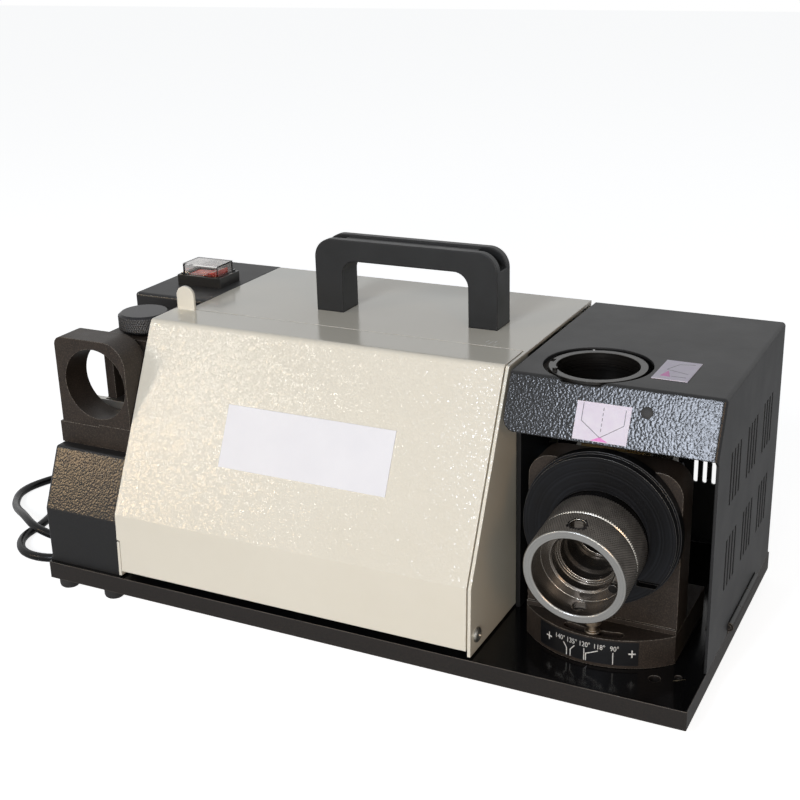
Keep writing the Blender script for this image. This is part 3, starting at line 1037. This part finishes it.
def knurled_teeth():
    """A node tree that covers a round wall with the points of a cross knurl, save where a hole is drilled."""
    tree = bpy.data.node_groups.new("knurled_teeth", "GeometryNodeTree")
    tree.interface.new_socket("Given", in_out="INPUT", socket_type="NodeSocketGeometry")
    for title, kind in (("Radius", "Float"), ("Start", "Float"), ("Length", "Float"), ("Columns", "Int"),
                        ("Rows", "Int"), ("Depth", "Float"), ("Hole", "Float"), ("Hole Height", "Float"),
                        ("Finish", "Material")):
        tree.interface.new_socket(title, in_out="INPUT", socket_type="NodeSocket" + kind)
    tree.interface.new_socket("Teeth", in_out="OUTPUT", socket_type="NodeSocketGeometry")
    given = add(tree, "NodeGroupInput").outputs

    # which row and column a tooth is in; every other row is staggered by half a tooth
    number = add(tree, "GeometryNodeInputIndex")
    rows_in = add(tree, "ShaderNodeMath", {0: number, 1: given["Columns"]}, operation="DIVIDE")
    row = add(tree, "ShaderNodeMath", {0: rows_in}, operation="FLOOR")
    before = add(tree, "ShaderNodeMath", {0: row, 1: given["Columns"]}, operation="MULTIPLY")
    column = add(tree, "ShaderNodeMath", {0: number, 1: before}, operation="SUBTRACT")
    odd = add(tree, "ShaderNodeMath", {0: row, 1: 2.0}, operation="MODULO")
    stagger = add(tree, "ShaderNodeMath", {0: odd, 1: 0.5}, operation="MULTIPLY")

    # its angle round the wall and its height along it
    step = add(tree, "ShaderNodeMath", {0: 2 * math.pi, 1: given["Columns"]}, operation="DIVIDE")
    steps_round = add(tree, "ShaderNodeMath", {0: column, 1: stagger}, operation="ADD")
    angle = add(tree, "ShaderNodeMath", {0: steps_round, 1: step}, operation="MULTIPLY")
    row_height = add(tree, "ShaderNodeMath", {0: given["Length"], 1: given["Rows"]}, operation="DIVIDE")
    rows_up = add(tree, "ShaderNodeMath", {0: row, 1: 0.5}, operation="ADD")
    risen = add(tree, "ShaderNodeMath", {0: rows_up, 1: row_height}, operation="MULTIPLY")
    height = add(tree, "ShaderNodeMath", {0: given["Start"], 1: risen}, operation="ADD")
    cosine = add(tree, "ShaderNodeMath", {0: angle}, operation="COSINE")
    sine = add(tree, "ShaderNodeMath", {0: angle}, operation="SINE")
    outwards = add(tree, "ShaderNodeCombineXYZ", {"X": cosine, "Y": sine})
    wall_point = add(tree, "ShaderNodeVectorMath", {0: outwards, "Scale": given["Radius"]}, operation="SCALE")
    upwards = add(tree, "ShaderNodeCombineXYZ", {"Z": height})
    lifted = add(tree, "ShaderNodeVectorMath", {0: wall_point, 1: upwards}, operation="ADD")
    count = add(tree, "ShaderNodeMath", {0: given["Columns"], 1: given["Rows"]}, operation="MULTIPLY")
    points = add(tree, "GeometryNodePoints", {"Count": count, "Position": lifted})

    # no teeth where the hole is drilled, on the side that faces along Y
    aside = add(tree, "ShaderNodeMath", {0: cosine, 1: given["Radius"]}, operation="MULTIPLY")
    above = add(tree, "ShaderNodeMath", {0: height, 1: given["Hole Height"]}, operation="SUBTRACT")
    off_axis = add(tree, "ShaderNodeCombineXYZ", {"X": aside, "Z": above})
    from_hole = add(tree, "ShaderNodeVectorMath", {0: off_axis}, operation="LENGTH")
    drilled = add(tree, "FunctionNodeCompare", {0: from_hole, 1: given["Hole"]}, data_type="FLOAT",
                  operation="LESS_THAN")
    kept = add(tree, "GeometryNodeDeleteGeometry", {"Geometry": points, "Selection": drilled}, domain="POINT")

    # a four-sided point on each spot, standing out from the wall
    tooth = add(tree, "GeometryNodeMeshCone", {"Vertices": 4, "Radius Top": 0.0, "Radius Bottom": 1.0,
                                               "Depth": 1.0}, fill_type="NONE")
    spot = add(tree, "GeometryNodeInputPosition")
    off_wall = add(tree, "ShaderNodeVectorMath", {0: spot, 1: (1.0, 1.0, 0.0)}, operation="MULTIPLY")
    stood = add(tree, "FunctionNodeAxesToRotation", {0: off_wall, 1: (0.0, 0.0, 1.0)}, primary_axis="Z",
                secondary_axis="Y")
    column_width = add(tree, "ShaderNodeMath", {0: step, 1: given["Radius"]}, operation="MULTIPLY")
    half_width = add(tree, "ShaderNodeMath", {0: column_width, 1: 0.5}, operation="MULTIPLY")
    size = add(tree, "ShaderNodeCombineXYZ", {"X": half_width, "Y": row_height, "Z": given["Depth"]})
    teeth = add(tree, "GeometryNodeInstanceOnPoints", {"Points": kept, "Instance": tooth, "Rotation": stood,
                                                       "Scale": size})
    real = add(tree, "GeometryNodeRealizeInstances", {0: teeth})
    finished = add(tree, "GeometryNodeSetMaterial", {"Geometry": real, "Material": given["Finish"]})
    add(tree, "NodeGroupOutput", {0: finished})
    return tree


knurl_tree = knurled_teeth()


def knurl(name, body, slot, place, **sizes):
    """A knurl as a piece of its own on a round wall."""
    made = bpy.data.objects.new(name, bpy.data.meshes.new(name))
    bpy.context.scene.collection.objects.link(made)
    run_tree(made, knurl_tree, place, **sizes)
    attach(made, body)


# Knurled steel, browned and oiled: dark in the grooves, with bright worn points. The knurl's real pitch is
# 1 mm; its diamonds are drawn half as large again so that they show.
points_worn, tree, shader, place = start_finish("worn_knurled_steel", "#57524B", 0.38, metallic=0.85)
tone = mottle(tree, place, 8.333, 4, "#312E2B", "#6E6963")[1]
feed(shader, {"Base Color": tone})

# The rings themselves: browned bores, dark ground under the knurl, a front face turned bright, and a polished
# line where the grip meets the ring.
KNURL_GROUND = 0.0288
chuck_steel, tree, shader, place = start_finish("browned_and_turned_steel", "#3A342E", 0.24, metallic=0.9)
rings, reach, height = lathe_marks(tree, place, chuck_axis, 0.6)
normal, worn = worn_edges(tree, 0.0005, 0.86, 0.98)
haze = add(tree, "ShaderNodeTexNoise", {"Vector": place, "Scale": every(14.29), "Detail": 5})
browned = add(tree, "ShaderNodeMix", {"Factor": rings, "A": "#35312D", "B": "#B0ABA4"}, data_type="RGBA")
browned = add(tree, "ShaderNodeMix", {"Factor": haze, "A": browned, "B": "#544C44"}, data_type="RGBA")
outer = add(tree, "ShaderNodeMapRange", {"Value": reach, "From Min": KNURL_GROUND,
                                         "From Max": KNURL_GROUND + 0.0004})
tone = add(tree, "ShaderNodeMix", {"Factor": outer, "A": browned, "B": "#211F1D"}, data_type="RGBA")
front = add(tree, "ShaderNodeMapRange", {"Value": height, "From Min": GRIP_END - 0.0005,
                                         "From Max": GRIP_END - 0.0003})
faced = add(tree, "ShaderNodeMix", {"Factor": rings, "A": "#8C8C8A", "B": "#B5B5B2"}, data_type="RGBA")
tone = add(tree, "ShaderNodeMix", {"Factor": front, "A": tone, "B": faced}, data_type="RGBA")
polished = add(tree, "ShaderNodeMath", {0: height, 1: RING_LENGTH - 0.0004, 2: 0.0005}, operation="COMPARE")
tone = add(tree, "ShaderNodeMix", {"Factor": polished, "A": tone, "B": "#E3DFD6"}, data_type="RGBA")
tone = add(tree, "ShaderNodeMix", {"Factor": worn, "A": tone, "B": "#C4C0B8"}, data_type="RGBA")
cut_marks = add(tree, "ShaderNodeBump", {"Height": rings, "Normal": normal, "Strength": 0.3,
                                         "Distance": 0.0002})
feed(shader, {"Base Color": tone, "Normal": cut_marks})

# Black oxide on steel, for the key's screw: near black, rubbed to grey metal along its edges.
black_oxide, tree, shader, place = start_finish("black_oxide_steel", "#1B1A19", 0.36, metallic=0.7)
normal, worn = worn_edges(tree, 0.0004)
tone = mottle(tree, place, 2, 3, "#141312", "#2A2826")[1]
tone = add(tree, "ShaderNodeMix", {"Factor": worn, "A": tone, "B": "#8E8A84"}, data_type="RGBA")
feed(shader, {"Base Color": tone, "Normal": normal})

dress(chuck_steel, "feed_ring", "chuck_sleeve", "chuck_grip", "collet", "collet_nut")
dress(black_oxide, "chuck_key_screw")
knurl("grip_knurl", "chuck", "knurled_steel", chuck_axis, radius=GRIP_RADIUS, start=GRIP_START + 0.0009,
      length=GRIP_END - GRIP_START - 0.0017, columns=KNURL_COLUMNS, rows=KNURL_ROWS, depth=KNURL_DEPTH,
      hole=KEY_HOLE, hole_height=GRIP_END - KEY_HOLE_FROM_FACE, finish=points_worn)
knurl("ring_knurl", "feed_ring", "knurled_steel", chuck_axis, radius=RING_RADIUS, start=0.0012,
      length=RING_LENGTH - 0.0016, columns=KNURL_COLUMNS, rows=KNURL_ROWS, depth=KNURL_DEPTH, hole=0.0,
      hole_height=0.0, finish=points_worn)

# ---- Drill setter ---------------------------------------------------------------------------------------
# Left box of folded steel in the black hammer powder coat. The phosphated setting ring and column stand on
# its foot block, with a bright stop and a black anodised knob.
dress(hammer_coat, "setter_housing")
dress(phosphate, "setter_foot_block", "setter_ring_block", "setter_column")
dress(turned_steel, "setter_stop")
dress(zinc, "setter_bolts")

# Black anodised aluminium: satin, greyer where fingers have rubbed it, and bare along its edges.
knob_finish, tree, shader, place = start_finish("black_anodised_knob", "#161617", 0.4, metallic=0.5)
normal, worn = worn_edges(tree, 0.0005)
tone = mottle(tree, place, 11.11, 4, "#101011", "#26262A")[1]
tone = add(tree, "ShaderNodeMix", {"Factor": worn, "A": tone, "B": "#6D6C6A"}, data_type="RGBA")
feed(shader, {"Base Color": tone, "Normal": normal})
dress(knob_finish, "setter_knob")
knob_low, knob_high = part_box("setter_knob")
knob_middle = middle_of("setter_knob")
knurl("knob_knurl", "setter_knob", "black_knurled_knob",
      Matrix.Translation((knob_middle.x, knob_middle.y, knob_high.z)), radius=(knob_high.x - knob_low.x) / 2,
      start=-0.0110, length=0.0092, columns=66, rows=6, depth=0.00045, hole=0.0, hole_height=0.0,
      finish=knob_finish)

# ---- Switch box -----------------------------------------------------------------------------------------
# Rear left box with the mains switch: a lighted red rocker in a black bezel under a clear splash cap. The
# motor's capacitor stands inside.
dress(hammer_coat, "switch_housing")

# Black ABS, moulded: glossy on its flats, greyer along its rubbed corners.
abs_black, tree, shader, place = start_finish("black_abs", "#0F0F10", 0.3)
normal, worn = worn_edges(tree, 0.0005)
grain, tone = mottle(tree, place, 1.111, 3, "#0B0B0B", "#1A1918")
tone = add(tree, "ShaderNodeMix", {"Factor": worn, "A": tone, "B": "#35332F"}, data_type="RGBA")
spark = add(tree, "ShaderNodeBump", {"Height": grain, "Normal": normal, "Strength": 0.2, "Distance": 0.0001})
feed(shader, {"Base Color": tone, "Normal": spark})
dress(abs_black, "switch_bezel")

# Red polycarbonate, clear-coloured: cloudy and streaky, because its lamp is off.
red, tree, shader, place = start_finish("red_polycarbonate", "#B4230F", 0.2)
tone = mottle(tree, place, 6.667, 3, "#8E1408", "#D63B1C")[1]
normal = worn_edges(tree, 0.0005)[0]
feed(shader, {"Base Color": tone, "Normal": normal})
dress(red, "switch_rocker")

# Soft clear PVC: the cap's walls are a little wavy, and its corners catch the light.
clear, tree, shader, place = start_finish("clear_soft_pvc", "#F2F0EE", 0.06)
wave = add(tree, "ShaderNodeTexNoise", {"Vector": place, "Scale": every(7.692), "Detail": 2})
buckled = add(tree, "ShaderNodeBump", {"Height": wave, "Strength": 0.25, "Distance": 0.0004})
feed(shader, {"IOR": 1.42, "Transmission Weight": 1.0, "Normal": buckled})
dress(clear, "switch_cap")

# Deep drawn aluminium: bright, with fine lines along the can from the die.
can, tree, shader, place = start_finish("drawn_aluminium_can", "#B8B9BB", 0.35, metallic=1.0)
drawn = add(tree, "ShaderNodeMapping", {"Vector": place, "Scale": (every(16.67), every(0.556), every(0.556))})
die_lines = add(tree, "ShaderNodeTexNoise", {"Vector": drawn, "Scale": 1, "Detail": 2})
tone = add(tree, "ShaderNodeMix", {"Factor": die_lines, "A": "#A3A4A7", "B": "#C8C9CB"}, data_type="RGBA")
dulled = add(tree, "ShaderNodeMapRange", {"Value": die_lines, "To Min": 0.24, "To Max": 0.45})
feed(shader, {"Base Color": tone, "Roughness": dulled})
dress(can, "capacitor")

bpy.context.view_layer.update()
